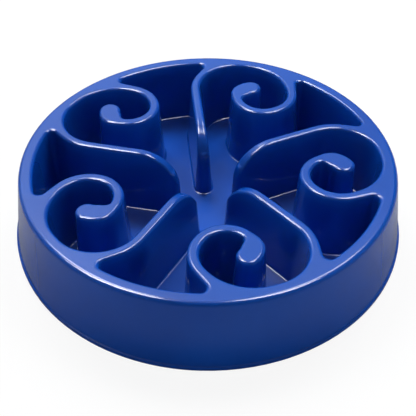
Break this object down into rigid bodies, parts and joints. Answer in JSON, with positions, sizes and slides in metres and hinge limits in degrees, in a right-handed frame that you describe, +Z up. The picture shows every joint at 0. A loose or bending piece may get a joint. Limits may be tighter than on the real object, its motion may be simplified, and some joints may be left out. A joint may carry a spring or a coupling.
{
  "type": "slow feeder bowl",
  "caption": "Round low pet bowl with a flared outer wall, whose well holds tall curled and wavy ridges that make an animal eat slowly; small rubber feet underneath.",
  "frame": {"origin": "centre of the bowl's round base, on the table", "axes": "+Z up along the bowl's axis; -Y towards the front of the bowl; +X to the right"},
  "size_m": [0.3, 0.3, 0.058],
  "materials": {
    "blue_plastic": "glossy injection-moulded blue, opaque",
    "foot_rubber": "soft matt dark grey"
  },
  "bodies": {
    "root": {"rim_wall": "blue_plastic", "well_floor": "blue_plastic", "curl_root_front": "blue_plastic", "curl_root_right": "blue_plastic", "curl_root_back_right": "blue_plastic", "curl_root_back_left": "blue_plastic", "curl_root_left": "blue_plastic", "curl_neck_front": "blue_plastic", "curl_neck_right": "blue_plastic", "curl_neck_back_right": "blue_plastic", "curl_neck_back_left": "blue_plastic", "curl_neck_left": "blue_plastic", "curl_bow_front": "blue_plastic", "curl_bow_right": "blue_plastic", "curl_bow_back_right": "blue_plastic", "curl_bow_back_left": "blue_plastic", "curl_bow_left": "blue_plastic", "curl_hook_front": "blue_plastic", "curl_hook_right": "blue_plastic", "curl_hook_back_right": "blue_plastic", "curl_hook_back_left": "blue_plastic", "curl_hook_left": "blue_plastic", "curl_end_front": "blue_plastic", "curl_end_right": "blue_plastic", "curl_end_back_right": "blue_plastic", "curl_end_back_left": "blue_plastic", "curl_end_left": "blue_plastic", "wave_root_front": "blue_plastic", "wave_root_right": "blue_plastic", "wave_root_back_right": "blue_plastic", "wave_root_back_left": "blue_plastic", "wave_root_left": "blue_plastic", "wave_neck_front": "blue_plastic", "wave_neck_right": "blue_plastic", "wave_neck_back_right": "blue_plastic", "wave_neck_back_left": "blue_plastic", "wave_neck_left": "blue_plastic", "wave_nose_front": "blue_plastic", "wave_nose_right": "blue_plastic", "wave_nose_back_right": "blue_plastic", "wave_nose_back_left": "blue_plastic", "wave_nose_left": "blue_plastic", "foot_front": "foot_rubber", "foot_right": "foot_rubber", "foot_back_right": "foot_rubber", "foot_back_left": "foot_rubber", "foot_left": "foot_rubber"}
  },
  "joints": []
}
